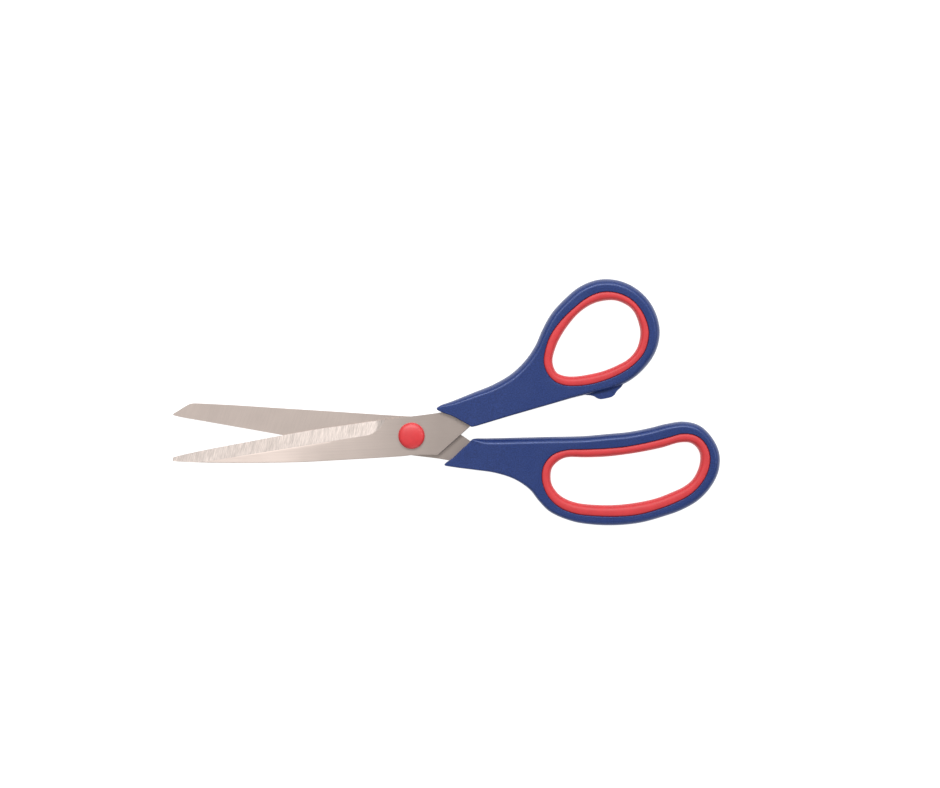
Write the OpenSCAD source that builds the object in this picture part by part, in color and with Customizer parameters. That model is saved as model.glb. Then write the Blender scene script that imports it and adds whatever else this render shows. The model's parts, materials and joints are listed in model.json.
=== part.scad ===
// Office scissors: two flat steel blades on one rivet, each with a moulded
// handle whose closed loop has a soft liner. Seen from the front (+Z) the
// blades point to -X and the loops to +X. Drawn around the rivet's axis, then
// shifted so the box's bottom centre is the origin.

/* [Blades] */

// Thickness of each blade
blade_t = 1.8; // [1.4:0.1:2.2]
// Free gap between the two flat inner faces
blade_gap = 0.1; // [0.06:0.02:0.2]
// Width of the ground bevel, square to the cutting edge
bevel_w = 5.3; // [3:0.1:6]
// Steel left at the cutting edge
edge_t = 0.35; // [0.2:0.05:0.8]
// Run-out slope at the end of the bevel, from the bevel plane
runout_a = 20; // [20:5:60]

/* [Handles] */

// Thickness of the loops
loop_h = 10.0; // [8:0.2:12]
// Thickness of the shanks at their front ends
shank_h = 7.6; // [6:0.2:9]
// How far the loop's face falls from its crest to the liner
face_drop = 0.2; // [0:0.05:1.5]
// Depth of the groove between loop and liner
groove_d = 0.8; // [0.3:0.1:1.5]
// Thickness of the soft liner
liner_h = 9.4; // [8:0.2:11]
// Thickness of the stop nub
nub_h = 5.6; // [3:0.2:7]

/* [Pivot] */

// Diameter of the rivet
rivet_d = 5.0; // [4:0.5:7]
// Radial running clearance in the front blade
run_clear = 0.04; // [0.01:0.01:0.1]
// Diameter of the front cap
cap_d = 10.3; // [8:0.1:14]
// Height of the front cap above the blade
cap_h = 2.5; // [1.5:0.1:4]
// Diameter of the rear washer
washer_d = 9.0; // [7:0.5:12]
// Thickness of the rear washer
washer_t = 0.6; // [0.4:0.1:1.2]

/* [Quality] */

// Steps between two outline points
steps = 3; // [2:1:5]

/* [Hidden] */

// handle outlines, clockwise from the front upper corner: x, y, width of the
// rounded edge. rows 0-7 upper edge, 7-n loop, then lower edge and front end
thumb_rows = [
  [9.85, 10.55, .25], [11.2, 11.75, .8], [16, 13.5, 1.6], [24, 16.75, 2.2],
  [32, 20, 2.6], [39, 24.1, 2.6], [44.5, 29.3, 2.5], [48.6, 35.3, 2.4],
  [51.2, 41.2, 2.4], [54.8, 47.7, 2.5], [60, 53.5, 2.5], [66, 58.4, 2.5],
  [73, 61.1, 2.5], [80.3, 61, 2.5], [87, 58.4, 2.5], [92.6, 53.5, 2.5],
  [96.2, 46.9, 2.4], [97.3, 40, 2.3], [95.6, 32.8, 2.2], [91.3, 26.5, 2.1],
  [85.5, 21.6, 1.9], [78, 18.3, 1.6], [70.5, 16.6, 1.3], [63.5, 14.95, 1],
  [55, 12.5, .8], [47, 10.2, .7], [39, 7.9, .65], [32.5, 5.95, .6],
  [27.5, 4.45, .55], [24.6, 3.65, .45], [23.4, 3.55, .4], [22.5, 4.15, .4],
  [19.4, 5.9, .4], [15.6, 7.85, .4], [11.9, 9.2, .35]];

finger_rows = [
  [23.8, -1.5, .5], [25.2, -1.15, 1.2], [29, -1.1, 2.3], [35, -.95, 2.6],
  [41.5, -.8, 2.6], [48, -.65, 2.6], [54, -.5, 2.6], [60, -.4, 2.6],
  [68, -.15, 2.6], [76.5, .6, 2.6], [85, 1.4, 2.6], [93, 2.9, 2.5],
  [100.5, 4.75, 2.4], [107, 5.5, 2.3], [113, 3.9, 2.3], [117.7, -.6, 2.3],
  [120.6, -6.7, 2.2], [120.5, -13.2, 2.1], [117.6, -19.6, 2],
  [112.6, -25.1, 1.9], [106, -29, 1.8], [98, -31.85, 1.7], [89.5, -34.1, 1.6],
  [80.5, -35.05, 1.5], [71.5, -34.85, 1.4], [63, -33.5, 1.3],
  [54.4, -29.85, 1.2], [50, -25.6, 1.1], [46.4, -21.1, 1], [40.5, -17.1, .8],
  [33, -14.6, .65], [24.5, -13.35, .55], [16.5, -12.3, .45],
  [12.95, -11.5, .1], [13.2, -10.95, .2], [16.3, -8.6, .4], [19.2, -5.8, .4],
  [22, -3.3, .4]];

// loop rows, clockwise from the upper end of the shank, one for each loop
// row above and four across the shank: outer x, y and inner x, y of the liner
thumb_loop = [
  [52.9, 35.5, 56.75, 35.25], [54.75, 39.95, 58.5, 38.9],
  [58.65, 45.25, 61.85, 43.9], [63.4, 49.9, 65.5, 48],
  [68.5, 53.9, 69.5, 50.9], [74, 56.2, 73.8, 52.6], [80, 56.1, 79.5, 53.1],
  [85.4, 53.9, 84.3, 51.3], [89.4, 50, 87.2, 48.6], [92.05, 44.95, 89, 44.4],
  [93, 39.8, 89.7, 40], [91.4, 33.1, 88.4, 34.3], [87.5, 28.2, 85.2, 30.3],
  [82.4, 24.6, 81, 27.8], [76.6, 22, 75.5, 25.5], [70.4, 20.2, 69.8, 24.1],
  [64.6, 19.5, 64.4, 23.3], [59.9, 19.75, 60.5, 23.4],
  [56.15, 21.25, 57.4, 24.45], [53.05, 24.75, 55.8, 26.75],
  [51.8, 29.2, 55.3, 30]];

finger_loop = [
  [60.4, -5.6, 61, -8.5], [68, -5.3, 68, -8.5], [76, -4.95, 75.7, -8.25],
  [84, -4.2, 83.5, -7.4], [91.7, -2.75, 91, -6.2], [99.5, -.9, 98.5, -4.6],
  [106.4, .85, 104.8, -2.75], [111.7, -.05, 109.2, -2.8],
  [115.15, -3.15, 111.9, -4.7], [116.9, -7.8, 113.2, -7.8],
  [116.4, -13, 112.7, -12.2], [113.9, -18.2, 110.5, -16.7],
  [109.4, -22.9, 107, -19.8], [103.3, -26.25, 102, -22.2],
  [96.3, -28.9, 95.7, -24.6], [88.6, -30.95, 88.3, -26.2],
  [80.3, -31.65, 80.3, -27.1], [72, -31.45, 72.3, -27.1],
  [64.2, -30.55, 65, -26.3], [58.05, -28.1, 60, -24.5],
  [53.35, -23.55, 56.7, -21.8], [51.1, -17.3, 54.7, -17.9],
  [51.7, -11.85, 54.9, -13.2], [55.1, -7.55, 57.3, -10.2]];

// guide points that bow the seam between shank and loop
thumb_bow = [[47.2, 26.4], [51.4, 20.3]];
finger_bow = [[43, -7], [48.5, -16]];

// blade outlines: tip to handle along the cutting edge, then the back
front_edge = [[-93.6, -8.5], [-90.5, -7.65], [-80, -5.4], [-65, -2.55],
  [-50, .25], [-37.5, 2.45], [-25, 4.25], [-12.5, 6.05], [-6, 6.95],
  [0, 7.6], [5, 8.2], [11.5, 9.1]];
front_tang = [[14, 9.9], [18, 11.4], [30, 16.2], [42.5, 21.4], [45.5, 20.9],
  [46.8, 18.6], [45.8, 16.1], [43, 14.6], [28.5, 9], [26, 7.2]];
front_back = [[11.3, -6.75], [10.7, -7.3], [9.6, -7.5], [1, -7.5], [-3, -8],
  [-15, -8.8], [-28, -9.55], [-42, -10.3], [-60, -10.65], [-78, -10.6],
  [-88, -10.3], [-92.6, -10.05], [-93.4, -9.8]];

rear_back = [[-93.55, 8.5], [-91.5, 9.8], [-88.2, 11.85], [-86.4, 12.6],
  [-84, 12.7], [-70, 12], [-50, 10.7], [-30, 9.45], [-10, 8.1], [0, 7.55],
  [7.6, 7.4], [8.9, 6.9]];
rear_tang = [[19.5, .3], [27, -4.75], [30, -5.6], [42, -6.6], [45.3, -7.8],
  [46.4, -10.2], [45.3, -12.6], [42, -13.4], [30, -11.8], [21, -10.5]];
rear_edge = [[15.2, -9.75], [9.6, -8.85], [3.3, -8.1], [-1, -7.55],
  [-6, -6.9], [-12.5, -6], [-25, -4.15], [-37.5, -2.35], [-50, .12],
  [-65, 2.8], [-80, 5.45], [-90.5, 7.3], [-93.3, 8.05]];

// plastic lock holes in the tangs: x, y, diameter
front_locks = [[31, 13.1, 4], [40.5, 17, 4]];
rear_locks = [[31, -8.7, 4], [41, -10, 4]];

// stop nub under the thumb loop
nub_rows = [
  [67.8, 16.8], [70.2, 16.42], [72, 15.95], [73.1, 15.25], [74.2, 14.9],
  [76.8, 15.25], [78.4, 15.6], [79.2, 16.2], [79.8, 17.5], [80.5, 18.4],
  [81.6, 19.4], [82.3, 20.7], [81.5, 21.5], [79.5, 21], [74, 19.6], [69.2, 18.4]];

z_in = blade_gap / 2;             // inner face of each blade
z_out = z_in + blade_t;           // outer face of each blade
head_z = z_out + 0.08;            // underside of head and cap, running gap
rivet_r = rivet_d / 2;
cap_r = cap_d / 2;
head_r = 3.9;
head_t = 1.0;
tail_r = 3.6;
tail_h = 0.9;
peg_clear = 0;

function at(p, i) = p[((i % len(p)) + len(p)) % len(p)];
function span(a, b) = sqrt(max(.05, norm([b[0] - a[0], b[1] - a[1]])));

// smooth curve through four neighbouring points, f from 0 to 1 in the middle
function smooth(a, b, c, d, f) = let(
    u = span(a, b), v = span(b, c), w = span(c, d),
    m = v * ((b - a) / u - (c - a) / (u + v) + (c - b) / v),
    n = v * ((c - b) / v - (d - b) / (v + w) + (d - c) / w))
  (2*f*f*f - 3*f*f + 1) * b + (f*f*f - 2*f*f + f) * m
  + (3*f*f - 2*f*f*f) * c + (f*f*f - f*f) * n;

function closed(p, s) = [for (i = [0 : len(p) - 1]) for (j = [0 : s - 1])
  smooth(at(p, i - 1), p[i], at(p, i + 1), at(p, i + 2), j / s)];
function open(p, s) = let(n = len(p), q = concat([2*p[0] - p[1]], p, [2*p[n-1] - p[n-2]]))
  concat([for (i = [0 : n - 2]) for (j = [0 : s - 1])
    smooth(q[i], q[i+1], q[i+2], q[i+3], j / s)], [p[n-1]]);

function xy(p) = [p[0], p[1]];
function inward(p, i) = let(t = xy(at(p, i + 1)) - xy(at(p, i - 1)), l = norm(t))
  [t[1], -t[0]] / l;

// half thickness of a handle at x: thin at the front end, full at the loop
function half_h(x) = let(f = min(1, max(0, (x - 12) / 30)))
  (shank_h + (loop_h - shank_h) * f * f * (3 - 2 * f)) / 2;

// share of a curve's length at each of its points
function share(p) = let(m = len(p) - 1, c = [for (i = 0, s = 0; i <= m;
    s = s + (i < m ? norm(p[i + 1] - p[i]) : 0), i = i + 1) s])
  [for (v = c) v / c[m]];

// a point of the Coons patch between two edges u, l and two ends f, b
function patch(u, l, f, b, f_ends, b_ends, s, t) =
  (1 - t) * u + t * l + (1 - s) * f + s * b
  - (1 - s) * ((1 - t) * f_ends[0] + t * f_ends[1])
  - s * ((1 - t) * b_ends[0] + t * b_ends[1]);

function quad(a, b, c, d) = [[a, b, c], [a, c, d]];

// one handle: side wall, rounded edge, flat shank, loop face and groove wall.
// rows: outline, ring: loop rows, ku: rows along the shank, mu: rows across
module handle_body(rows, ring, bow, ku = 7, mu = 5) {
  s = steps;
  o = closed(rows, s);
  n = len(o);
  kk = ku * s;
  mm = mu * s;
  g = closed(ring, s);
  q = len(g);
  ls = q - mm;
  ee = 4;
  rr = 3;
  in = [for (i = [0 : n - 1]) inward(o, i)];
  crest = [for (i = [0 : n - 1]) xy(o[i]) + o[i][2] * in[i]];
  // rounded edge, from the side wall (e = 0) to the crest (e = ee)
  band = [for (e = [0 : ee]) for (i = [0 : n - 1]) let(
      w = o[i][2], a = 90 * e / ee, c = crest[i], zc = half_h(c[0]),
      p = xy(o[i]) + w * (1 - cos(a)) * in[i])
    [p[0], p[1], zc - 1.7 * w * (1 - sin(a))]];
  // seam between shank and loop, upper edge (t = 0) to lower edge (t = 1)
  up = crest[kk];
  lo = crest[n - mm - kk];
  seam = [for (j = [0 : mm]) let(t = j / mm)
    pow(1-t, 3) * up + 3*t*(1-t)*(1-t) * bow[0] + 3*t*t*(1-t) * bow[1] + t*t*t * lo];
  // shank face
  front = [for (j = [0 : mm]) crest[(n - j) % n]];
  su = share([for (k = [0 : kk]) crest[k]]);
  sl = share([for (k = [0 : kk]) crest[n - mm - k]]);
  sf = share(front);
  face = [for (k = [1 : kk]) for (j = [1 : mm - 1]) let(
      x = (1 - j / mm) * su[k] + j / mm * sl[k], t = (1 - x) * sf[j] + x * j / mm,
      p = k == kk ? seam[j] : patch(crest[k], crest[n - mm - k], front[j], seam[j],
        [front[0], front[mm]], [seam[0], seam[mm]], x, t))
    [p[0], p[1], half_h(p[0])]];
  // loop face
  outer = [for (i = [0 : q - 1]) i <= ls ? crest[kk + i] : seam[mm - (i - ls)]];
  lip = [for (i = [0 : q - 1]) xy(g[i]) - .5 * inward(g, i)];
  loop = [for (r = [1 : rr]) for (i = [0 : q - 1]) let(
      f = r / rr, p = outer[i] + (lip[i] - outer[i]) * f)
    [p[0], p[1], half_h(p[0]) - face_drop * f * f]];
  wall = [for (i = [0 : q - 1])
    [g[i][0], g[i][1], half_h(g[i][0]) - face_drop - groove_d]];
  top = concat(band, face, loop, wall);
  nt = len(top);
  bot = [for (p = top) [p[0], p[1], -p[2]]];
  b0 = (ee + 1) * n;
  c0 = b0 + kk * (mm - 1);
  rim = [for (i = [0 : n - 1]) ee * n + i];
  function sh(k, j) = j == 0 ? rim[k] : j == mm ? rim[n - mm - k]
    : k == 0 ? rim[n - j] : b0 + (k - 1) * (mm - 1) + j - 1;
  function lp(r, i) = let(m = i % q)
    r > 0 ? c0 + (r - 1) * q + m : m <= ls ? rim[kk + m] : sh(kk, mm - (m - ls));
  skin = concat(
    [for (e = [0 : ee - 1]) for (i = [0 : n - 1]) let(i1 = (i + 1) % n)
      each quad(e*n + i, e*n + i1, (e+1)*n + i1, (e+1)*n + i)],
    [for (k = [0 : kk - 1]) for (j = [0 : mm - 1])
      each quad(sh(k, j), sh(k + 1, j), sh(k + 1, j + 1), sh(k, j + 1))],
    [for (r = [0 : rr]) for (i = [0 : q - 1])
      each quad(lp(r, i), lp(r, i + 1), lp(r + 1, i + 1), lp(r + 1, i))]);
  sides = concat(
    [for (i = [0 : n - 1]) let(i1 = (i + 1) % n) each quad(i1, i, nt + i, nt + i1)],
    [for (i = [0 : q - 1]) let(a = lp(rr + 1, i), b = lp(rr + 1, i + 1))
      each quad(a, b, nt + b, nt + a)]);
  under = [for (f = skin) [nt + f[2], nt + f[1], nt + f[0]]];
  polyhedron(points = concat(top, bot), faces = concat(skin, sides, under));
}

// section of the soft liner: share of its width, height as a share of half
liner_rows = [[.1, .9], [.28, .98], [.5, 1], [.7, .94], [.86, .77], [.96, .47], [1, .15]];

module liner(ring) {
  g = closed(ring, steps);
  q = len(g);
  m = len(liner_rows);
  hh = liner_h / 2;
  half = concat(
    [for (i = [0 : q - 1]) [g[i][0], g[i][1], half_h(g[i][0]) - face_drop - groove_d]],
    [for (r = liner_rows) for (i = [0 : q - 1])
      [g[i][0] + r[0] * (g[i][2] - g[i][0]), g[i][1] + r[0] * (g[i][3] - g[i][1]),
       r[1] * min(hh, half_h(g[i][0]) - .3)]]);
  nh = len(half);
  under = [for (p = half) [p[0], p[1], -p[2]]];
  skin = [for (r = [0 : m - 1]) for (i = [0 : q - 1]) let(i1 = (i + 1) % q)
    each quad(r*q + i, r*q + i1, (r+1)*q + i1, (r+1)*q + i)];
  sides = concat(
    [for (i = [0 : q - 1]) let(i1 = (i + 1) % q) each quad(i1, i, nh + i, nh + i1)],
    [for (i = [0 : q - 1]) let(i1 = (i + 1) % q)
      each quad(m*q + i, m*q + i1, nh + m*q + i1, nh + m*q + i)]);
  back = [for (f = skin) [nh + f[2], nh + f[1], nh + f[0]]];
  polyhedron(points = concat(half, under), faces = concat(skin, sides, back));
}

// plate outlines
front_plate = concat(open(front_edge, 3), front_tang, front_back);
rear_plate = concat(rear_back, rear_tang, rear_edge);

// wedge above the bevel plane, ending in a cone that gives the curved run-out.
// local frame: x along the edge, y from the bevel's border to the edge
module bevel_cut() {
  tilt = atan((blade_t - edge_t) / bevel_w);
  translate([-15.75, .4, z_out]) rotate([0, 0, 9.23]) rotate([-tilt, 0, 0]) {
    translate([-102.22, -3, 0]) cube([100, 16, 6]);
    translate([-2.22, 5.3, 0])
      cylinder(h = 5, r1 = 5.3, r2 = 5.3 + 5 / tan(runout_a), $fn = 96);
  }
}

module locks(list, h, grow = 0) {
  for (p = list) translate([p[0], p[1], h]) cylinder(h = blade_t, d = p[2] + grow, $fn = 48);
}

x_mid = (min([for (p = rear_plate) p[0]]) + max([for (p = closed(finger_rows, steps)) p[0]])) / 2;
y_mid = (max([for (p = closed(thumb_rows, steps)) p[1]])
  + min([for (p = closed(finger_rows, steps)) p[1]])) / 2;

module place() {
  translate([-x_mid, -y_mid, loop_h / 2]) children();
}

module front_blade() {
  color([.72, .68, .65]) place() difference() {
    translate([0, 0, z_in]) linear_extrude(height = blade_t) polygon(front_plate);
    translate([0, 0, -1]) cylinder(h = 5, r = rivet_r + run_clear, $fn = 96);
    translate([0, 0, -.5]) scale([1, 1, 2]) locks(front_locks, 0);
    bevel_cut();
  }
}

module rear_blade() {
  color([.7, .66, .63]) place() difference() {
    translate([0, 0, -z_out]) linear_extrude(height = blade_t) polygon(rear_plate);
    translate([0, 0, -4]) cylinder(h = 5, r = rivet_r, $fn = 96);
    translate([0, 0, -2.5]) scale([1, 1, 2]) locks(rear_locks, 0);
    mirror([0, 0, 1]) mirror([0, 1, 0]) bevel_cut();
  }
}

module thumb_handle() {
  color([.19, .24, .43]) place() difference() {
    union() {
      handle_body(thumb_rows, thumb_loop, thumb_bow);
      translate([0, 0, -nub_h / 2]) linear_extrude(height = nub_h) polygon(nub_rows);
    }
    difference() {
      translate([0, 0, z_in]) linear_extrude(height = blade_t) polygon(front_plate);
      locks(front_locks, z_in);
    }
  }
}

module finger_handle() {
  color([.19, .24, .43]) place() difference() {
    handle_body(finger_rows, finger_loop, finger_bow);
    difference() {
      translate([0, 0, -z_out]) linear_extrude(height = blade_t) polygon(rear_plate);
      locks(rear_locks, -z_out);
    }
  }
}

module thumb_grip() {
  color([.87, .29, .3]) place() liner(thumb_loop);
}

module finger_grip() {
  color([.87, .29, .3]) place() liner(finger_loop);
}

// rivet: shank, flat front head inside the cap, peened tail over the washer
module pivot_rivet() {
  tail_z = -z_out - washer_t;
  ball = (tail_r * tail_r + tail_h * tail_h) / (2 * tail_h);
  color([.6, .6, .6]) place() union() {
    translate([0, 0, tail_z]) cylinder(h = head_z + head_t - tail_z, r = rivet_r, $fn = 96);
    translate([0, 0, head_z]) cylinder(h = head_t, r = head_r, $fn = 96);
    intersection() {
      translate([0, 0, tail_z - tail_h]) cylinder(h = tail_h, r = tail_r, $fn = 96);
      translate([0, 0, tail_z - tail_h + ball]) sphere(r = ball, $fn = 96);
    }
  }
}

module pivot_washer() {
  color([.66, .66, .66]) place() difference() {
    translate([0, 0, -z_out - washer_t]) cylinder(h = washer_t, d = washer_d, $fn = 96);
    translate([0, 0, -z_out - washer_t - 1]) cylinder(h = washer_t + 2, r = rivet_r, $fn = 96);
  }
}

// domed cap, hollow over the rivet head
module front_cap() {
  rim = .7;
  dome = cap_h - rim;
  ball = (cap_r * cap_r + dome * dome) / (2 * dome);
  color([.86, .2, .22]) place() difference() {
    intersection() {
      translate([0, 0, head_z]) cylinder(h = cap_h, r = cap_r, $fn = 96);
      translate([0, 0, head_z + cap_h - ball]) sphere(r = ball, $fn = 96);
    }
    translate([0, 0, head_z - 1]) cylinder(h = 1 + head_t, r = head_r, $fn = 96);
  }
}

front_blade();
rear_blade();
thumb_handle();
finger_handle();
thumb_grip();
finger_grip();
pivot_rivet();
pivot_washer();
front_cap();
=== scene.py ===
import json
import math

import bmesh
import bpy
import numpy as np
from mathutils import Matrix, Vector


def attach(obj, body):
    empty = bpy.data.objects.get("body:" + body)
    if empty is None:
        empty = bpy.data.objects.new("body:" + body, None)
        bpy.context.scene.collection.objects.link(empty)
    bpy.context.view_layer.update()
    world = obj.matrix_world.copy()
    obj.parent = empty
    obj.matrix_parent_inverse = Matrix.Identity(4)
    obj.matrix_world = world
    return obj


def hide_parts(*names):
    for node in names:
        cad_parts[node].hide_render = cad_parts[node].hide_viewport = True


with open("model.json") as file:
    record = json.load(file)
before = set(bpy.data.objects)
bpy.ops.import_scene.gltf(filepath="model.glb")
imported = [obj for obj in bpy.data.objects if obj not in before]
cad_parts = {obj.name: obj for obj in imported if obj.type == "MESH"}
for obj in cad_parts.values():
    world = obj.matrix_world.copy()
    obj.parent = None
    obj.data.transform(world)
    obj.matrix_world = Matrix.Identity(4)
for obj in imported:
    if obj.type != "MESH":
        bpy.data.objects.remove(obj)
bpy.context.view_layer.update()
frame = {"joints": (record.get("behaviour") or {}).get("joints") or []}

# Everything below is drawn in millimetres around the pivot and put in place by it.
PIVOT = np.array(frame["joints"][0]["pos_m"])
MM = 0.001

# ---------------------------------------------------------------- camera
IMAGE_W = 940
SCALE = 0.392                      # mm on the object for one image unit
LENS, SENSOR = 200.0, 36.0
VIEW_X, VIEW_Y = 22.93, 16.35      # where the optical axis meets the object
VIEW_Z = 1.0                       # height above the pivot's middle where SCALE holds
cam_data = bpy.data.cameras.new("camera")
cam_data.lens = LENS
cam_data.sensor_width = SENSOR
cam = bpy.data.objects.new("camera", cam_data)
bpy.context.scene.collection.objects.link(cam)
distance = IMAGE_W * SCALE / 2 / (SENSOR / 2 / LENS) * MM
cam.location = PIVOT + np.array([VIEW_X * MM, VIEW_Y * MM, VIEW_Z * MM + distance])
cam_data.clip_start, cam_data.clip_end = 0.05, 20
bpy.context.scene.camera = cam

# ---------------------------------------------------------------- shapes shared with the CAD
# Outline of each handle at its parting line: x, y and the width of the rounded edge there.
THUMB_ROWS = [
    (9.85, 10.55, .25), (11.2, 11.75, .8), (16, 13.5, 1.6), (24, 16.75, 2.2), (32, 20, 2.6),
    (39, 24.1, 2.6), (44.5, 29.3, 2.5), (48.6, 35.3, 2.4), (51.2, 41.2, 2.4), (54.8, 47.7, 2.5),
    (60, 53.5, 2.5), (66, 58.4, 2.5), (73, 61.1, 2.5), (80.3, 61, 2.5), (87, 58.4, 2.5),
    (92.6, 53.5, 2.5), (96.2, 46.9, 2.4), (97.3, 40, 2.3), (95.6, 32.8, 2.2), (91.3, 26.5, 2.1),
    (85.5, 21.6, 1.9), (78, 18.3, 1.6), (70.5, 16.6, 1.3), (63.5, 14.95, 1), (55, 12.5, .8),
    (47, 10.2, .7), (39, 7.9, .65), (32.5, 5.95, .6), (27.5, 4.45, .55), (24.6, 3.65, .45),
    (23.4, 3.55, .4), (22.5, 4.15, .4), (19.4, 5.9, .4), (15.6, 7.85, .4), (11.9, 9.2, .35)]
FINGER_ROWS = [
    (23.8, -1.5, .5), (25.2, -1.15, 1.2), (29, -1.1, 2.3), (35, -.95, 2.6), (41.5, -.8, 2.6),
    (48, -.65, 2.6), (54, -.5, 2.6), (60, -.4, 2.6), (68, -.15, 2.6), (76.5, .6, 2.6),
    (85, 1.4, 2.6), (93, 2.9, 2.5), (100.5, 4.75, 2.4), (107, 5.5, 2.3), (113, 3.9, 2.3),
    (117.7, -.6, 2.3), (120.6, -6.7, 2.2), (120.5, -13.2, 2.1), (117.6, -19.6, 2),
    (112.6, -25.1, 1.9), (106, -29, 1.8), (98, -31.85, 1.7), (89.5, -34.1, 1.6),
    (80.5, -35.05, 1.5), (71.5, -34.85, 1.4), (63, -33.5, 1.3), (54.4, -29.85, 1.2),
    (50, -25.6, 1.1), (46.4, -21.1, 1), (40.5, -17.1, .8), (33, -14.6, .65), (24.5, -13.35, .55),
    (16.5, -12.3, .45), (12.95, -11.5, .1), (13.2, -10.95, .2), (16.3, -8.6, .4), (19.2, -5.8, .4),
    (22, -3.3, .4)]
# Liner of each loop: x, y of its outer side, in the groove, and x, y of its inner side.
THUMB_LOOP = [
    (52.9, 35.5, 56.75, 35.25), (54.75, 39.95, 58.5, 38.9), (58.65, 45.25, 61.85, 43.9),
    (63.4, 49.9, 65.5, 48), (68.5, 53.9, 69.5, 50.9), (74, 56.2, 73.8, 52.6),
    (80, 56.1, 79.5, 53.1), (85.4, 53.9, 84.3, 51.3), (89.4, 50, 87.2, 48.6),
    (92.05, 44.95, 89, 44.4), (93, 39.8, 89.7, 40), (91.4, 33.1, 88.4, 34.3),
    (87.5, 28.2, 85.2, 30.3), (82.4, 24.6, 81, 27.8), (76.6, 22, 75.5, 25.5),
    (70.4, 20.2, 69.8, 24.1), (64.6, 19.5, 64.4, 23.3), (59.9, 19.75, 60.5, 23.4),
    (56.15, 21.25, 57.4, 24.45), (53.05, 24.75, 55.8, 26.75), (51.8, 29.2, 55.3, 30)]
FINGER_LOOP = [
    (60.4, -5.6, 61, -8.5), (68, -5.3, 68, -8.5), (76, -4.95, 75.7, -8.25), (84, -4.2, 83.5, -7.4),
    (91.7, -2.75, 91, -6.2), (99.5, -.9, 98.5, -4.6), (106.4, .85, 104.8, -2.75),
    (111.7, -.05, 109.2, -2.8), (115.15, -3.15, 111.9, -4.7), (116.9, -7.8, 113.2, -7.8),
    (116.4, -13, 112.7, -12.2), (113.9, -18.2, 110.5, -16.7), (109.4, -22.9, 107, -19.8),
    (103.3, -26.25, 102, -22.2), (96.3, -28.9, 95.7, -24.6), (88.6, -30.95, 88.3, -26.2),
    (80.3, -31.65, 80.3, -27.1), (72, -31.45, 72.3, -27.1), (64.2, -30.55, 65, -26.3),
    (58.05, -28.1, 60, -24.5), (53.35, -23.55, 56.7, -21.8), (51.1, -17.3, 54.7, -17.9),
    (51.7, -11.85, 54.9, -13.2), (55.1, -7.55, 57.3, -10.2)]
# Two points that bend the seam between a handle's shank and its loop.
THUMB_BOW = ((47.2, 26.4), (51.4, 20.3))
FINGER_BOW = ((43, -7), (48.5, -16))
# Outline of the stop under the thumb loop.
NUB = [
    (67.8, 16.8), (70.2, 16.42), (72, 15.95), (73.1, 15.25), (74.2, 14.95), (76.7, 15.35),
    (78.1, 15.75), (79.1, 16.5), (79.8, 17.6), (80.5, 18.4), (81.6, 19.4), (82.3, 20.7),
    (81.5, 21.5), (79.5, 21), (74, 19.6), (69.2, 18.4)]
LOOP_H, SHANK_H = 10.0, 7.6
RISE_FROM, RISE_OVER = 12, 30      # x where the shank starts to rise to the loop, and its length
EDGE_RISE = 1.7                    # height of a handle's rounded edge, in times its width
RIDGE = .05                        # parting ridge of the mouldings
FACE_DROP, GROOVE, LIP = .05, .8, .25  # loop face's fall to the liner, groove's depth, its lip
BLADE_T, BLADE_GAP, BEVEL_W, EDGE_T = 1.8, .1, 5.3, .35
Z_IN = BLADE_GAP / 2
Z_OUT = Z_IN + BLADE_T
HEAD_Z = Z_OUT + .08               # underside of the cap
TAIL_Z = -Z_OUT - .6               # underside of the washer
FRONT_TIP, REAR_TIP = -93.6, -93.55
TIP_R = .3                         # rounding of the corners at a blade's tip
FRONT_BORE, REAR_BORE = 2.54, 2.5  # radius of each blade's hole at the pivot
BACK_FILLET, CHAMFER = .22, .06    # outer and inner edge of a blade's back
THINNEST = .1                      # least thickness of a cutting edge
# The upper border of the bevel's ground plane: a point on it and its turn in degrees.
BEVEL_X, BEVEL_Y, BEVEL_TURN = -15.75, .4, 9.23
# Its run-out: where it starts along the border, its radius, its slope and how softly it starts.
RUNOUT_FROM, RUNOUT_R, RUNOUT_SLOPE, RUNOUT_SOFT = -3.17, 6, .5, 1.5
RUNOUT_X = -24, -8                 # x between which the run-out lies
# The outer flat leans more and more from LEAN_FROM on, to TAPER degrees after LEAN_OVER.
TAPER, LEAN_FROM, LEAN_OVER = 5, -2, 52


def spline(a, b, c, d, f):
    """Centripetal Catmull-Rom through b and c, f from 0 to 1."""
    def span(p, q):
        return math.sqrt(max(.05, math.hypot(q[0] - p[0], q[1] - p[1])))
    u, v, w = span(a, b), span(b, c), span(c, d)
    m = v * ((b - a) / u - (c - a) / (u + v) + (c - b) / v)
    n = v * ((c - b) / v - (d - b) / (v + w) + (d - c) / w)
    return ((2 * f**3 - 3 * f**2 + 1) * b + (f**3 - 2 * f**2 + f) * m
            + (3 * f**2 - 2 * f**3) * c + (f**3 - f**2) * n)


def closed(rows, steps):
    """A smooth closed curve through the rows, with steps points to each."""
    p = [np.array(r, float) for r in rows]
    n = len(p)
    return np.array([spline(p[i - 1], p[i], p[(i + 1) % n], p[(i + 2) % n], j / steps)
                     for i in range(n) for j in range(steps)])


def opened(rows, steps):
    """A smooth open curve through the rows, ends included."""
    p = [np.array(r, float) for r in rows]
    q = [2 * p[0] - p[1], *p, 2 * p[-1] - p[-2]]
    out = [spline(*q[i:i + 4], j / steps) for i in range(len(p) - 1) for j in range(steps)]
    return np.array(out + [p[-1]])


def inward(p):
    """Unit normals to the right of the way a closed outline runs."""
    t = np.roll(p[:, :2], -1, 0) - np.roll(p[:, :2], 1, 0)
    t /= np.linalg.norm(t, axis=1)[:, None]
    return np.c_[t[:, 1], -t[:, 0]]


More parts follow.
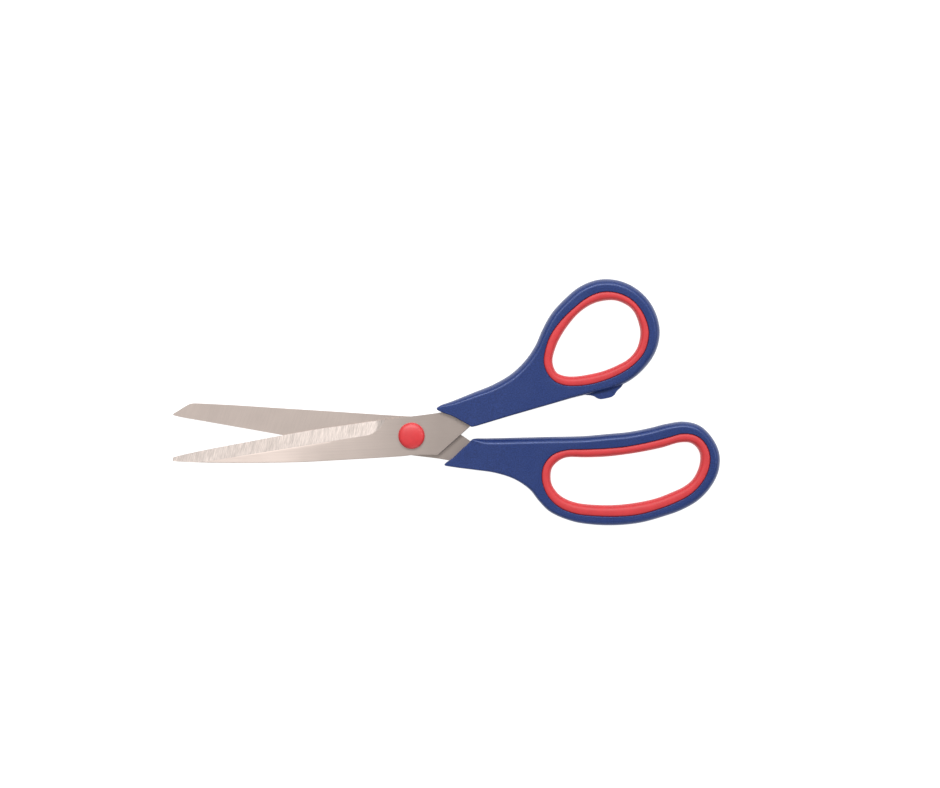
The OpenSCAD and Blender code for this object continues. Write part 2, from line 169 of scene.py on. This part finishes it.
def length_share(p):
    """Share of a curve's length at each of its points."""
    c = np.r_[0, np.cumsum(np.linalg.norm(np.diff(p, axis=0), axis=1))]
    return c / c[-1]


def smooth_step(f):
    """Smooth rise from 0 to 1 as f goes from 0 to 1."""
    f = np.clip(f, 0, 1)
    return f * f * (3 - 2 * f)


def half_h(x):
    """Half the height of a handle at x."""
    rise = smooth_step((np.asarray(x) - RISE_FROM) / RISE_OVER)
    return (SHANK_H + (LOOP_H - SHANK_H) * rise) / 2


def ring_faces(n, rings):
    """Quads between stacked rings of n points each."""
    return [(e * n + i, e * n + (i + 1) % n, (e + 1) * n + (i + 1) % n, (e + 1) * n + i)
            for e in range(rings - 1) for i in range(n)]


def add_mesh(name, verts, faces, mats, face_mats=None, sharp=None):
    """A mesh object from millimetres around the pivot. sharp: degrees, or None for all smooth."""
    me = bpy.data.meshes.new(name)
    pts = np.asarray(verts, float) * MM + PIVOT
    me.from_pydata(pts.tolist(), [], [tuple(int(i) for i in f) for f in faces])
    for m in mats:
        me.materials.append(m)
    if face_mats is not None:
        me.polygons.foreach_set("material_index", list(face_mats))
    bm = bmesh.new()
    bm.from_mesh(me)
    bmesh.ops.remove_doubles(bm, verts=bm.verts, dist=2e-7)
    bmesh.ops.dissolve_degenerate(bm, edges=bm.edges, dist=1e-7)
    bmesh.ops.recalc_face_normals(bm, faces=bm.faces)
    for f in bm.faces:
        f.smooth = True
    if sharp is not None:
        for e in bm.edges:
            if len(e.link_faces) == 2 and e.calc_face_angle(0) > math.radians(sharp):
                e.smooth = False
    bm.to_mesh(me)
    bm.free()
    o = bpy.data.objects.new(name, me)
    bpy.context.scene.collection.objects.link(o)
    return o


def add_halves(name, top, faces, mat):
    """A mesh object from its upper half and the same half mirrored below the parting plane."""
    m = len(top)
    faces = faces + [tuple(m + i for i in reversed(f)) for f in faces]
    return add_mesh(name, np.vstack([top, top * (1, 1, -1)]), faces, [mat])


def apply_modifier(o, kind, **settings):
    """Replaces an object's mesh with what one modifier makes of it."""
    mod = o.modifiers.new(kind.lower(), kind)
    for k, v in settings.items():
        setattr(mod, k, v)
    dg = bpy.context.evaluated_depsgraph_get()
    dg.update()
    me = bpy.data.meshes.new_from_object(o.evaluated_get(dg), depsgraph=dg)
    o.modifiers.clear()
    old = o.data
    o.data = me
    bpy.data.meshes.remove(old)


def place(o, body, slot, *nodes):
    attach(o, body)
    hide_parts(*nodes)


# ---------------------------------------------------------------- materials
class Mat:
    """A node material, with short calls for its textures."""

    def __init__(self, name, **sockets):
        self.m = bpy.data.materials.new(name)
        self.m.use_nodes = True
        self.t = self.m.node_tree
        self.b = self.t.nodes["Principled BSDF"]
        for k, v in sockets.items():
            self.b.inputs[k.replace("_", " ")].default_value = v
        self.coord = self.t.nodes.new("ShaderNodeTexCoord").outputs["Object"]
        self.normal = None

    def link(self, a, b):
        self.t.links.new(a, b)

    def mapped(self, scale=(1, 1, 1), turn=0.0):
        """Object coordinates turned about Z by turn degrees, then stretched."""
        r = self.t.nodes.new("ShaderNodeMapping")
        r.inputs["Rotation"].default_value = (0, 0, math.radians(-turn))
        self.link(self.coord, r.inputs["Vector"])
        s = self.t.nodes.new("ShaderNodeMapping")
        s.inputs["Scale"].default_value = scale
        self.link(r.outputs[0], s.inputs["Vector"])
        return s.outputs[0]

    def noise(self, scale, detail=2.0, rough=.5, vec=None, distort=0.0):
        n = self.t.nodes.new("ShaderNodeTexNoise")
        n.inputs["Scale"].default_value = scale
        n.inputs["Detail"].default_value = detail
        n.inputs["Roughness"].default_value = rough
        n.inputs["Distortion"].default_value = distort
        self.link(vec or self.coord, n.inputs["Vector"])
        return n.outputs["Fac"]

    def ramp(self, fac, lo, hi, low=.3, high=.7):
        n = self.t.nodes.new("ShaderNodeMapRange")
        n.inputs["From Min"].default_value = low
        n.inputs["From Max"].default_value = high
        n.inputs["To Min"].default_value = lo
        n.inputs["To Max"].default_value = hi
        self.link(fac, n.inputs["Value"])
        return n.outputs["Result"]

    def math(self, op, a, b):
        n = self.t.nodes.new("ShaderNodeMath")
        n.operation = op
        for i, v in enumerate((a, b)):
            if isinstance(v, (int, float)):
                n.inputs[i].default_value = v
            else:
                self.link(v, n.inputs[i])
        return n.outputs[0]

    def mix(self, fac, a, b):
        n = self.t.nodes.new("ShaderNodeMix")
        n.data_type = "RGBA"
        self.link(fac, n.inputs["Factor"])
        for key, v in ((6, a), (7, b)):
            if isinstance(v, tuple):
                n.inputs[key].default_value = (*v, 1)
            else:
                self.link(v, n.inputs[key])
        return n.outputs[2]

    def bump(self, height, depth, strength=1.0):
        n = self.t.nodes.new("ShaderNodeBump")
        n.inputs["Strength"].default_value = strength
        n.inputs["Distance"].default_value = depth
        self.link(height, n.inputs["Height"])
        if self.normal:
            self.link(self.normal, n.inputs["Normal"])
        self.normal = n.outputs["Normal"]
        self.link(self.normal, self.b.inputs["Normal"])

    def colour(self, out):
        self.link(out, self.b.inputs["Base Color"])

    def rough(self, out):
        self.link(out, self.b.inputs["Roughness"])


def tint(c, k):
    return tuple(min(1.0, v * k) for v in c)


def blue_plastic():
    m = Mat("blue_plastic", Specular_IOR_Level=.72, Specular_Tint=(.55, .65, 1, 1))
    c = (.0140, .0310, .133)
    grain = m.noise(1900, 3, .65)
    cloud = m.noise(160, 3, .55)
    m.colour(m.mix(m.ramp(grain, 0, 1, .35, .65), tint(c, .7), tint(c, 1.32)))
    m.rough(m.ramp(cloud, .33, .41))
    m.bump(m.noise(3000, 2, .6), 1.8e-5, .5)
    m.bump(cloud, 4e-5, .25)
    return m.m


def red_rubber():
    m = Mat("red_soft_grip", Specular_IOR_Level=.42)
    c = (.585, .038, .044)
    cloud = m.noise(220, 3, .55)
    m.colour(m.mix(m.ramp(cloud, 0, 1), tint(c, .93), tint(c, 1.07)))
    m.rough(m.ramp(cloud, .44, .54))
    m.bump(m.noise(3400, 2, .55), 1.2e-5, .5)
    return m.m


def red_cap():
    m = Mat("red_cap", Roughness=.42, Specular_IOR_Level=.6)
    c = (.63, .031, .037)
    cloud = m.noise(500, 2, .5)
    m.colour(m.mix(m.ramp(cloud, 0, 1), tint(c, .95), tint(c, 1.05)))
    m.bump(m.noise(900, 1, .5), 6e-6, .5)
    return m.m


def steel(name, colour, turn, rough, along, across, streak, heel_painted_shade=1.0, tip=1.0,
          fade=(.075, .03)):
    """Ground steel. turn: the grain's direction in degrees, along and across: its frequencies,
    streak: its contrast. heel and tip are painted light: heel: how bright the colour is past the
    pivot, painted shade below 1; tip: how bright it is at the tip, a painted highlight above 1 and
    painted shade below 1.
    fade: the distances before the pivot between which it turns from tip to plain, in metres."""
    m = Mat(name, Metallic=1.0)
    fine = m.noise(1.0, 3, .6, m.mapped((along, across, 300), turn))
    wide = m.noise(1.0, 2, .5, m.mapped((along * .3, across * .2, 60), turn))
    cloud = m.noise(60, 3, .55)
    shade = m.math("ADD", m.math("MULTIPLY", fine, .8), m.math("MULTIPLY", wide, .2))
    shade = m.ramp(shade, 0, 1, .36, .64)
    face = m.mix(shade, tint(colour, 1 - streak), tint(colour, 1 + streak))
    # The same grain at the tip, scaled by tip: a painted highlight where tip is above 1, painted
    # shade where it is below 1.
    painted_tip_face = m.mix(shade, tint(colour, tip * (1 - streak)), tint(colour, tip * (1 + streak)))
    split = m.t.nodes.new("ShaderNodeSeparateXYZ")
    m.link(m.coord, split.inputs[0])
    # The painted tip light fades in towards the tip, between the fade distances before the pivot.
    painted_tip_mask = m.ramp(split.outputs["X"], 1, 0, PIVOT[0] - fade[0], PIVOT[0] - fade[1])
    # Painted shade past the pivot: from 12 mm before to 20 mm after it, the colour turns to the
    # plain heel shade.
    painted_heel_mask = m.ramp(split.outputs["X"], 0, 1, PIVOT[0] - .012, PIVOT[0] + .020)
    m.colour(m.mix(painted_heel_mask, m.mix(painted_tip_mask, face, painted_tip_face), tint(colour, heel_painted_shade)))
    m.rough(m.ramp(cloud, rough - .03, rough + .04))
    m.bump(fine, 6e-6, .5)
    return m.m


def turned_steel():
    m = Mat("turned_steel", Metallic=1.0)
    fine = m.noise(2500, 3, .6)
    m.colour(m.mix(m.ramp(fine, 0, 1), (.42, .41, .40), (.56, .55, .54)))
    m.rough(m.ramp(m.noise(700, 2, .5), .26, .4))
    m.bump(fine, 5e-6, .4)
    return m.m


MAT_BLUE = blue_plastic()
MAT_RED = red_rubber()
MAT_CAP = red_cap()
MAT_TURNED = turned_steel()
FLAT, BEVEL = (.65, .552, .50), (.545, .483, .448)
# Painted light in the steel: the front flat gets a painted highlight towards the tip and painted
# shade past the pivot, the rear flat gets painted shade past the pivot, and the bevels get painted
# shade towards the tip.
MAT_FRONT = steel("front_blade_flat", FLAT, 2.0, rough=.36, along=40, across=3600, streak=.05,
                  heel_painted_shade=.75, tip=1.09, fade=(.058, .012))
MAT_REAR = steel("rear_blade_flat", tint(FLAT, .95), 70.0, rough=.38, along=150, across=2600,
                 streak=.03, heel_painted_shade=.66)
MAT_BEVEL_F, MAT_BEVEL_R = (
    steel(name, BEVEL, turn, rough=.62, along=300, across=3400, streak=.2, tip=.84,
          fade=(.088, .055))
    for name, turn in (("front_blade_bevel", 78), ("rear_blade_bevel", 102)))


# ---------------------------------------------------------------- handles
def handle(name, rows, ring, bow, steps=8, ku=7, mu=5):
    """A moulding: wall and rounded edge, shank face, loop face, and the groove of the liner.
    ku and mu: how many rows the shank runs along its edges, and across its front end."""
    o, g = closed(rows, steps), closed(ring, steps)
    n, q, kk, mm = len(o), len(g), ku * steps, mu * steps
    ls = q - mm                    # points of the loop's outer side, the rest follow the seam
    nrm = inward(o)
    w = o[:, 2:3]
    crest = o[:, :2] + w * nrm
    zc = half_h(crest[:, 0])[:, None]
    verts = []
    # side wall from the parting line up, then the rounded edge to the crest
    zs = zc - EDGE_RISE * w
    for level, ridge in ((0, RIDGE), (.03, RIDGE), (.06, 0), (.5, 0), (1, 0)):
        verts.append(np.c_[o[:, :2] - nrm * ridge, zs * level])
    edge_steps = 12
    for e in range(1, edge_steps + 1):
        a = math.pi / 2 * e / edge_steps
        verts.append(np.c_[o[:, :2] + w * (1 - math.cos(a)) * nrm,
                           zc - EDGE_RISE * w * (1 - math.sin(a))])
    rings = len(verts)
    base = rings * n
    rim0 = base - n
    # shank face: a Coons patch between the two edges, the front end and the seam
    up, lo = crest[kk], crest[n - mm - kk]
    bow = np.array(bow, float)
    t0 = np.arange(mm + 1)[:, None] / mm
    seam = ((1 - t0)**3 * up + 3 * t0 * (1 - t0)**2 * bow[0]
            + 3 * t0**2 * (1 - t0) * bow[1] + t0**3 * lo)
    front = np.array([crest[(n - j) % n] for j in range(mm + 1)])
    upper = crest[:kk + 1]
    lower = np.array([crest[n - mm - k] for k in range(kk + 1)])
    su, sl = length_share(upper), length_share(lower)
    sf = length_share(front)[:, None]
    for k in range(1, kk + 1):
        s = (1 - t0) * su[k] + t0 * sl[k]
        t = (1 - s) * sf + s * t0
        p = ((1 - t) * upper[k] + t * lower[k] + (1 - s) * front + s * seam
             - (1 - s) * ((1 - t) * front[0] + t * front[mm])
             - s * ((1 - t) * seam[0] + t * seam[mm]))
        p = (seam if k == kk else p)[1:mm]
        verts.append(np.c_[p, half_h(p[:, 0])])
    c0 = base + kk * (mm - 1)
    # loop face, lip and groove wall
    outer = np.array([crest[kk + i] if i <= ls else seam[mm - (i - ls)] for i in range(q)])
    gn = inward(g)
    lip = g[:, :2] - LIP * gn
    face_steps, turn_steps = 12, 5
    for r in range(1, face_steps + 1):
        f = r / face_steps
        p = outer + (lip - outer) * f
        verts.append(np.c_[p, half_h(p[:, 0]) - FACE_DROP * f * f])
    for e in range(1, turn_steps + 1):
        a = math.pi / 2 * e / turn_steps
        p = lip + (g[:, :2] - lip) * math.sin(a)
        verts.append(np.c_[p, half_h(p[:, 0]) - FACE_DROP - GROOVE * (1 - math.cos(a))])
    for level in (.5, 0):
        verts.append(np.c_[g[:, :2], (half_h(g[:, 0]) - FACE_DROP - GROOVE) * level])

    def sh(k, j):
        """Index of a point of the shank face."""
        if j == 0:
            return rim0 + k
        if j == mm:
            return rim0 + n - mm - k
        if k == 0:
            return rim0 + n - j
        return base + (k - 1) * (mm - 1) + j - 1

    def lp(r, i):
        """Index of a point of the loop face or the groove's wall."""
        i %= q
        if r > 0:
            return c0 + (r - 1) * q + i
        return rim0 + kk + i if i <= ls else sh(kk, mm - (i - ls))

    faces = ring_faces(n, rings)
    for k in range(kk):
        for j in range(mm):
            faces.append((sh(k, j), sh(k + 1, j), sh(k + 1, j + 1), sh(k, j + 1)))
    for r in range(face_steps + turn_steps + 2):
        for i in range(q):
            faces.append((lp(r, i), lp(r, i + 1), lp(r + 1, i + 1), lp(r + 1, i)))
    return add_halves(name, np.vstack(verts), faces, MAT_BLUE)


# Section of a liner: share of its width from the groove to the hole, and height.
LINER = [(0, 4.0), (.015, 4.2), (.05, 4.38), (.11, 4.52), (.19, 4.62), (.29, 4.68), (.4, 4.7),
         (.51, 4.68), (.61, 4.58), (.7, 4.4), (.78, 4.12), (.85, 3.75), (.905, 3.25),
         (.945, 2.65), (.972, 2.0), (.99, 1.3), (.998, .6), (1, 0)]


def liner(name, ring, steps=8):
    """The soft ring in a loop's groove."""
    g = closed(ring, steps)
    q = len(g)
    section = [(0, 0), *LINER]
    top = np.vstack([np.c_[g[:, :2] + part * (g[:, 2:] - g[:, :2]), np.full(q, z)]
                     for part, z in section])
    return add_halves(name, top, ring_faces(q, len(section)), MAT_RED)


def nub():
    """The stop under the thumb loop, rounded at its corners and edges."""
    outline = closed(NUB, 4)[:, :2]
    n = len(outline)
    nrm = inward(outline)
    section = [(0, 0), (0, 2.2), (.05, 2.42), (.18, 2.6), (.38, 2.74), (.62, 2.8)]
    top = np.vstack([np.c_[outline + nrm * d, np.full(n, z)] for d, z in section])
    lid = tuple(range(len(top) - n, len(top)))
    return add_halves("nub", top, ring_faces(n, len(section)) + [lid], MAT_BLUE)


thumb = handle("thumb_handle_moulding", THUMB_ROWS, THUMB_LOOP, THUMB_BOW)
stop = nub()
apply_modifier(thumb, "BOOLEAN", operation="UNION", solver="EXACT", object=stop)
bpy.data.objects.remove(stop)
thumb.data.set_sharp_from_angle(angle=math.radians(32))
finger = handle("finger_handle_moulding", FINGER_ROWS, FINGER_LOOP, FINGER_BOW)
place(thumb, "thumb_half", "handle_plastic", "thumb_handle")
place(finger, "finger_half", "handle_plastic", "finger_handle")
place(liner("thumb_liner", THUMB_LOOP), "thumb_half", "grip_rubber", "thumb_grip")
place(liner("finger_liner", FINGER_LOOP), "finger_half", "grip_rubber", "finger_grip")


# ---------------------------------------------------------------- blades
def cut_height(x, y):
    """Height of the ground surface over the front blade, run-out cone included."""
    a, tilt = math.radians(BEVEL_TURN), math.atan((BLADE_T - EDGE_T) / BEVEL_W)
    rx, ry = x - BEVEL_X, y - BEVEL_Y
    u = rx * math.cos(a) + ry * math.sin(a)
    v = -rx * math.sin(a) + ry * math.cos(a)
    plane = Z_OUT - v * math.tan(tilt)
    z = plane
    if u > RUNOUT_FROM:
        for _ in range(6):         # the height depends on itself, and settles
            vp = v * math.cos(tilt) - (z - Z_OUT) * math.sin(tilt)
            past = max(0.0, math.hypot(u - RUNOUT_FROM, vp - RUNOUT_R) - RUNOUT_R)
            rise = RUNOUT_SLOPE * past * past / (past + RUNOUT_SOFT)
            z = plane + rise / math.cos(tilt)
    return z


def rib_heights(e, b, mirror, nb, nf):
    """Points of one rib from the cutting edge e to the back b, nb on the bevel and nf on the flat:
    (share of the rib, height, 1 on the bevel or else 0)."""
    width = math.hypot(*(b - e))
    end = 1 - BACK_FILLET / width
    taper = math.tan(math.radians(TAPER * smooth_step((LEAN_FROM - e[0]) / LEAN_OVER)))

    def ground(s):
        p = e + (b - e) * s
        return cut_height(p[0], -p[1] if mirror else p[1])

    def flat(s):
        return Z_OUT - taper * (end - s) * width

    if ground(0) >= Z_OUT:
        border = 0.0
    elif ground(end) < Z_OUT:
        border = end
    else:
        lo, hi = 0.0, end
        for _ in range(40):
            mid = (lo + hi) / 2
            lo, hi = (mid, hi) if ground(mid) < Z_OUT else (lo, mid)
        border = hi
    drop = Z_OUT - flat(border)
    pts = [(0, Z_IN, 0)]
    for i in range(nb + 1):
        s = border * i / nb
        pts.append((s, max(Z_IN + THINNEST, min(Z_OUT, ground(s)) - drop * i / nb), 1))
    for i in range(1, nf + 1):
        s = border + (end - border) * i / nf
        pts.append((s, min(flat(s), max(ground(s), flat(border))), 0))
    zb = min(Z_OUT, ground(end))
    for k in (25, 50, 75, 90):
        a = math.radians(k)
        f = min(BACK_FILLET, .6 * (zb - Z_IN))
        pts.append((end + (1 - end) * math.sin(a), zb - f * (1 - math.cos(a)), 0))
    pts.append((1, Z_IN + CHAMFER, 0))
    pts.append((1 - CHAMFER / width, Z_IN, 0))
    return pts


def blade(name, ribs, mirror, mats, bore):
    """ribs: edge x, y and back x, y. The ground side is the outer one."""
    nb, nf, under = 10, 8, 8       # steps over the bevel, the flat and the inner face
    rows = []
    for ex, ey, bx, by in ribs:
        e, b = np.array((ex, ey)), np.array((bx, by))
        pts = rib_heights(e, b, mirror, nb, nf)
        line = [np.r_[e + (b - e) * s, z] for s, z, _ in pts]
        zones = [p[2] for p in pts]
        last = pts[-1][0]
        line += [np.r_[e + (b - e) * last * (1 - i / under), Z_IN] for i in range(1, under)]
        rows.append(line)
    n = len(rows[0])
    verts = np.vstack(rows)
    if mirror:
        verts = verts * (1, 1, -1)
    ends = [tuple(range(n)), tuple((len(rows) - 1) * n + i for i in reversed(range(n)))]
    ground = [int(zones[i:i + 2] == [1, 1]) for i in range(n)]
    mats_of = ground * (len(rows) - 1) + [0, 0]
    o = add_mesh(name, verts, ring_faces(n, len(rows)) + ends, mats, mats_of, sharp=8)
    bpy.ops.mesh.primitive_cylinder_add(vertices=72, radius=bore * MM, depth=.02, location=PIVOT)
    drill = bpy.context.object
    apply_modifier(o, "BOOLEAN", operation="DIFFERENCE", solver="EXACT", object=drill)
    bpy.data.objects.remove(drill)
    return o


def along(curve, x):
    """Height of a drawn curve at x."""
    c = curve[np.argsort(curve[:, 0])]
    return float(np.interp(x, c[:, 0], c[:, 1]))


def stations(tip, end):
    """x values of a blade's ribs: closest at the tip's corners, and close in the run-out."""
    x, out = tip, []
    while x < end:
        out.append(x)
        close = x < tip + 9 or RUNOUT_X[0] < x < RUNOUT_X[1]
        x += .12 if x < tip + 1.2 else .4 if close else 1.4
    return out + [end]


# Edges and backs of the blades up to the pivot, then their shanks: edge x, y and back x, y.
FRONT_EDGE = opened([(FRONT_TIP, -8.5), (-90.5, -7.65), (-80, -5.4), (-65, -2.55), (-50, .25),
                     (-37.5, 2.45), (-25, 4.25), (-12.5, 6.05), (-6, 6.95), (0, 7.6)], 8)
FRONT_BACK = opened([(FRONT_TIP, -9.9), (-92.6, -10.05), (-88, -10.3), (-78, -10.6), (-60, -10.65),
                     (-42, -10.3), (-28, -9.55), (-15, -8.8), (-3, -8), (0, -7.62)], 8)
REAR_EDGE = opened([(REAR_TIP, 8.0), (-90.5, 7.3), (-80, 5.45), (-65, 2.8), (-50, .12),
                    (-37.5, -2.35), (-25, -4.15), (-12.5, -6), (-6, -6.9), (0, -7.68)], 8)
REAR_BACK = np.array([(REAR_TIP, 8.5), (-91.5, 9.8), (-88.2, 11.85), (-86.8, 12.5),
                      (-86.2, 12.62), (-85.3, 12.7), (-84, 12.7), (-70, 12), (-50, 10.7),
                      (-30, 9.45), (-10, 8.1), (0, 7.55)])
FRONT_SHANK = [
    (0, 7.6, 0, -7.62), (3, 7.95, 3, -7.5), (6, 8.33, 6.5, -7.5), (8.4, 8.65, 9.2, -7.5),
    (9.6, 8.82, 10.2, -7.42), (10.4, 8.93, 10.8, -7.18), (11, 9.03, 11.3, -6.75),
    (11.8, 9.2, 12.6, -5.6), (14, 9.9, 16, -2.6), (18, 11.4, 20.3, 1.25), (23, 13.4, 24, 4.6),
    (27, 15, 27, 7.6), (30, 16.2, 30.5, 9.75), (36, 18.7, 36.5, 12.1), (42, 21.2, 43, 14.6),
    (44.2, 21.5, 45.2, 15.7), (45.8, 20.6, 46.4, 17.2)]
REAR_SHANK = [
    (0, -7.68, 0, 7.55), (3.3, -8.1, 4, 7.48), (6.5, -8.48, 7.2, 7.42), (8.4, -8.7, 8.3, 7.2),
    (9.6, -8.85, 9, 6.85), (12.4, -9.3, 12, 5.05), (15.2, -9.75, 15.5, 2.75),
    (18.5, -10.2, 19.5, .3), (22, -10.62, 23.5, -2.4), (26, -11.2, 27, -4.75),
    (30, -11.8, 30, -5.6), (36, -12.6, 36, -6.1), (42, -13.4, 42, -6.6),
    (44.4, -12.9, 44.6, -7.5), (45.8, -11.6, 45.9, -8.9)]


def ribs(edge, back, shank, tip):
    """All ribs of a blade, from its tip to the end of its shank."""
    out = []
    for x in stations(tip, -.8):
        e, b = along(edge, x), along(back, x)
        d = x - tip
        if d < TIP_R:              # rounded corners of the blunt tip
            cut = (TIP_R - math.sqrt(max(0, TIP_R**2 - (TIP_R - d)**2))) * .8
            sign = 1 if b > e else -1
            room = abs(b - e) / 2 - .04
            e, b = e + sign * min(cut, room), b - sign * min(cut, room)
        out.append((x, e, x, b))
    return out + [tuple(r) for r in opened(shank, 3)]


front = blade("front_blade_steel", ribs(FRONT_EDGE, FRONT_BACK, FRONT_SHANK, FRONT_TIP), False,
              [MAT_FRONT, MAT_BEVEL_F], FRONT_BORE)
rear = blade("rear_blade_steel", ribs(REAR_EDGE, REAR_BACK, REAR_SHANK, REAR_TIP), True,
             [MAT_REAR, MAT_BEVEL_R], REAR_BORE)
place(front, "thumb_half", "blade_steel", "front_blade")
place(rear, "finger_half", "blade_steel", "rear_blade")


# ---------------------------------------------------------------- pivot
def lathe(name, profile, mat, seg=96, sharp=35):
    """Turns a closed profile of (radius, height) about the pivot's axis."""
    verts, faces = [], []
    n = len(profile)
    for k in range(seg):
        a = 2 * math.pi * k / seg
        verts += [(r * math.cos(a), r * math.sin(a), z) for r, z in profile]
    for k in range(seg):
        m = (k + 1) % seg
        for i in range(n):
            j = (i + 1) % n
            faces.append((k * n + i, k * n + j, m * n + j, m * n + i))
    return add_mesh(name, verts, faces, [mat], sharp=sharp)


def arc(cx, cz, rx, rz, angles):
    """Points of an ellipse about (cx, cz) at angles in degrees."""
    turns = [math.radians(a) for a in angles]
    return [(cx + rx * math.cos(a), cz + rz * math.sin(a)) for a in turns]


def between(a, b, steps):
    """Even steps from a to b, both included."""
    return [a + (b - a) * i / steps for i in range(steps + 1)]


def at(z, *points):
    """Points of a profile, with their heights counted from z."""
    return [(r, z + h) for r, h in points]


cap_profile = (
    at(HEAD_Z, (3.9, 0), (5.02, 0))
    + arc(5.02, HEAD_Z + .12, .13, .12, between(-90, 0, 4))
    + arc(4.6, HEAD_Z + .75, .55, .62, between(0, 62, 6))
    + arc(0, HEAD_Z + 1.297, 4.858, 1.2, (4, 10, 18, 27, 37, 48, 60, 72, 82, 88))
    + at(HEAD_Z, (.002, 2.5), (.002, 1), (3.9, 1)))
rivet_profile = (
    at(HEAD_Z, (.02, .98), (3.75, .98), (3.88, .85), (3.88, .02), (2.48, .02))
    + at(TAIL_Z, (2.48, -.01), (3.45, -.01))
    + arc(3.2, TAIL_Z - .35, .36, .34, between(60, -40, 6))
    + at(TAIL_Z, (2.9, -.72), (2.3, -.83), (1.5, -.9), (1.05, -.88), (.8, -.74), (.4, -.66),
         (.02, -.64)))
washer_profile = at(-Z_OUT, (2.52, -.01), (4.35, -.01), (4.5, -.14), (4.5, -.46), (4.38, -.56),
                    (4.2, -.6), (2.7, -.6), (2.52, -.52))
place(lathe("pivot_cap", cap_profile, MAT_CAP), "finger_half", "cap_plastic", "front_cap")
place(lathe("pivot_rivet_steel", rivet_profile, MAT_TURNED),
      "finger_half", "rivet_steel", "pivot_rivet")
place(lathe("pivot_washer_steel", washer_profile, MAT_TURNED),
      "finger_half", "rivet_steel", "pivot_washer")

# ---------------------------------------------------------------- stage
WHITE = (1, 1, 1, 1)
FLOOR_HALF, FLOOR_GAP = 4, .0002   # in metres: half the floor's side, its gap under the object
floor_me = bpy.data.meshes.new("floor")
floor_me.from_pydata([(x * FLOOR_HALF, y * FLOOR_HALF, 0)
                      for x, y in ((-1, -1), (1, -1), (1, 1), (-1, 1))], [], [(0, 1, 2, 3)])
floor = bpy.data.objects.new("floor", floor_me)
floor.location.z = -FLOOR_GAP
bpy.context.scene.collection.objects.link(floor)
floor_me.materials.append(Mat("floor", Base_Color=(.25, .25, .25, 1), Roughness=.9,
                              Specular_IOR_Level=.1, Emission_Color=WHITE,
                              Emission_Strength=.97).m)

world = bpy.data.worlds.new("studio")
world.use_nodes = True
background = world.node_tree.nodes["Background"].inputs
background["Color"].default_value = WHITE
background["Strength"].default_value = .27
bpy.context.scene.world = world
bpy.context.scene.view_settings.view_transform = "Standard"


def softbox(name, az, tilt, dist, size, power):
    """An area light aimed at the origin. az: degrees from +X, tilt: degrees from straight up,
    dist and size in metres."""
    d = bpy.data.lights.new(name, "AREA")
    d.shape = "RECTANGLE"
    d.size, d.size_y = size
    d.energy = power
    o = bpy.data.objects.new(name, d)
    bpy.context.scene.collection.objects.link(o)
    a, t = math.radians(az), math.radians(tilt)
    way = Vector((math.cos(a) * math.sin(t), math.sin(a) * math.sin(t), math.cos(t)))
    o.location = way * dist
    o.visible_camera = False
    o.rotation_mode = "QUATERNION"
    o.rotation_quaternion = way.to_track_quat("Z", "Y")
    return o


softbox("key", 94, 36, 1.2, (1.2, .25), 12.5)
softbox("back_fill", 80, 66, 1.3, (.9, .5), 2.2)
softbox("key_right", 14, 46, 1.2, (.6, .4), 2.6)
softbox("front_fill", -75, 55, 1.2, (.9, .4), 1.9)
softbox("top_left", 180, 0, .5, (.6, .6), .52).location.x = -.28
